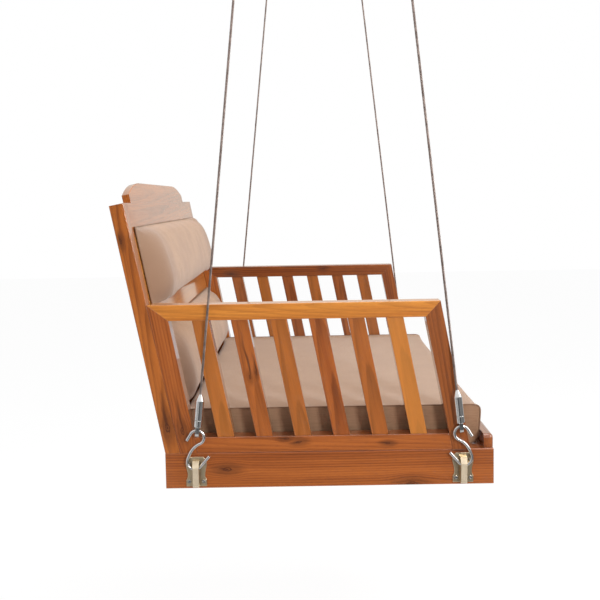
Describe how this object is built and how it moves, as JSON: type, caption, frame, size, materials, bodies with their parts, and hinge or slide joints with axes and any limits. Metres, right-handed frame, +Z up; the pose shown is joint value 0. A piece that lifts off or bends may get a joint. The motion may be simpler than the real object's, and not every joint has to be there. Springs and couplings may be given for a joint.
{
  "type": "jhoola swing",
  "caption": "Indoor swing bench of lacquered teak with slatted arms, padded seat and back bolsters, hung on steel wire ropes from ceiling hooks.",
  "frame": {"origin": "On the ceiling plane, in the middle of the four ceiling studs.", "axes": "+Z up; the sitter faces -Y; +X is to the sitter's left."},
  "size_m": [1.302, 0.7605, 1.4054],
  "materials": {
    "teak": "gloss",
    "dowel_wood": "matte",
    "bracket_brass": "satin",
    "screw_steel": "satin",
    "polished_steel": "polished",
    "rope_steel": "satin",
    "ceiling_steel": "satin",
    "cushion_fabric": "matte",
    "strip_fabric": "matte"
  },
  "bodies": {
    "ceiling": {"ceiling_hook_rear_right": "ceiling_steel", "ceiling_hook_rear_left": "ceiling_steel", "ceiling_hook_front_right": "ceiling_steel", "ceiling_hook_front_left": "ceiling_steel", "ceiling_flanges": "ceiling_steel", "ceiling_nuts": "ceiling_steel"},
    "hanger_rear_right": {"s_hook_rear_right": "polished_steel", "eye_rear_right": "polished_steel", "sleeve_rear_right": "polished_steel", "rope_rear_right": "rope_steel", "top_terminal_rear_right": "polished_steel"},
    "hanger_rear_left": {"s_hook_rear_left": "polished_steel", "eye_rear_left": "polished_steel", "sleeve_rear_left": "polished_steel", "rope_rear_left": "rope_steel", "top_terminal_rear_left": "polished_steel"},
    "hanger_front_right": {"s_hook_front_right": "polished_steel", "eye_front_right": "polished_steel", "sleeve_front_right": "polished_steel", "rope_front_right": "rope_steel", "top_terminal_front_right": "polished_steel"},
    "hanger_front_left": {"s_hook_front_left": "polished_steel", "eye_front_left": "polished_steel", "sleeve_front_left": "polished_steel", "rope_front_left": "rope_steel", "top_terminal_front_left": "polished_steel"},
    "bench": {"arm_bottom_left": "teak", "arm_bottom_right": "teak", "arm_front_upright_left": "teak", "arm_front_upright_right": "teak", "arm_rear_upright_left": "teak", "arm_rear_upright_right": "teak", "arm_slats_left": "teak", "arm_slats_right": "teak", "arm_top_left": "teak", "arm_top_right": "teak", "back_bottom_rail": "teak", "back_panel": "teak", "back_post_left": "teak", "back_post_right": "teak", "back_top_rail": "teak", "bolster_strips": "strip_fabric", "bracket_front_left": "bracket_brass", "bracket_front_right": "bracket_brass", "bracket_rear_left": "bracket_brass", "bracket_rear_right": "bracket_brass", "bracket_screws": "screw_steel", "centre_bearer": "teak", "crest_board": "teak", "frame_dowels": "dowel_wood", "front_lip": "teak", "front_rail": "teak", "lower_bolster": "cushion_fabric", "rear_rail": "teak", "seat_cleats": "teak", "seat_cushion": "cushion_fabric", "seat_planks": "teak", "side_rail_left": "teak", "side_rail_right": "teak", "upper_bolster": "cushion_fabric"}
  },
  "joints": [
    {"name": "swing_rear_right", "type": "hinge", "parent": "ceiling", "child": "hanger_rear_right", "pos_m": [-0.621, 0.134, -0.044], "axis": [-1, 0, 0], "range_deg": [-12, 12]},
    {"name": "swing_rear_left", "type": "hinge", "parent": "ceiling", "child": "hanger_rear_left", "pos_m": [0.621, 0.134, -0.044], "axis": [-1, 0, 0], "range_deg": [-12, 12]},
    {"name": "swing_front_right", "type": "hinge", "parent": "ceiling", "child": "hanger_front_right", "pos_m": [-0.621, -0.134, -0.044], "axis": [-1, 0, 0], "range_deg": [-12, 12]},
    {"name": "swing_front_left", "type": "hinge", "parent": "ceiling", "child": "hanger_front_left", "pos_m": [0.621, -0.134, -0.044], "axis": [-1, 0, 0], "range_deg": [-12, 12]},
    {"name": "bench_level", "type": "hinge", "parent": "hanger_rear_right", "child": "bench", "pos_m": [-0.621, 0.2696, -1.288], "axis": [-1, 0, 0], "range_deg": [-6, 6]}
  ],
  "couplings": [
    {"joint": "swing_rear_left", "follows": "swing_rear_right", "ratio": 1},
    {"joint": "swing_front_right", "follows": "swing_rear_right", "ratio": 1},
    {"joint": "swing_front_left", "follows": "swing_rear_right", "ratio": 1},
    {"joint": "bench_level", "follows": "swing_rear_right", "ratio": -0.496}
  ]
}
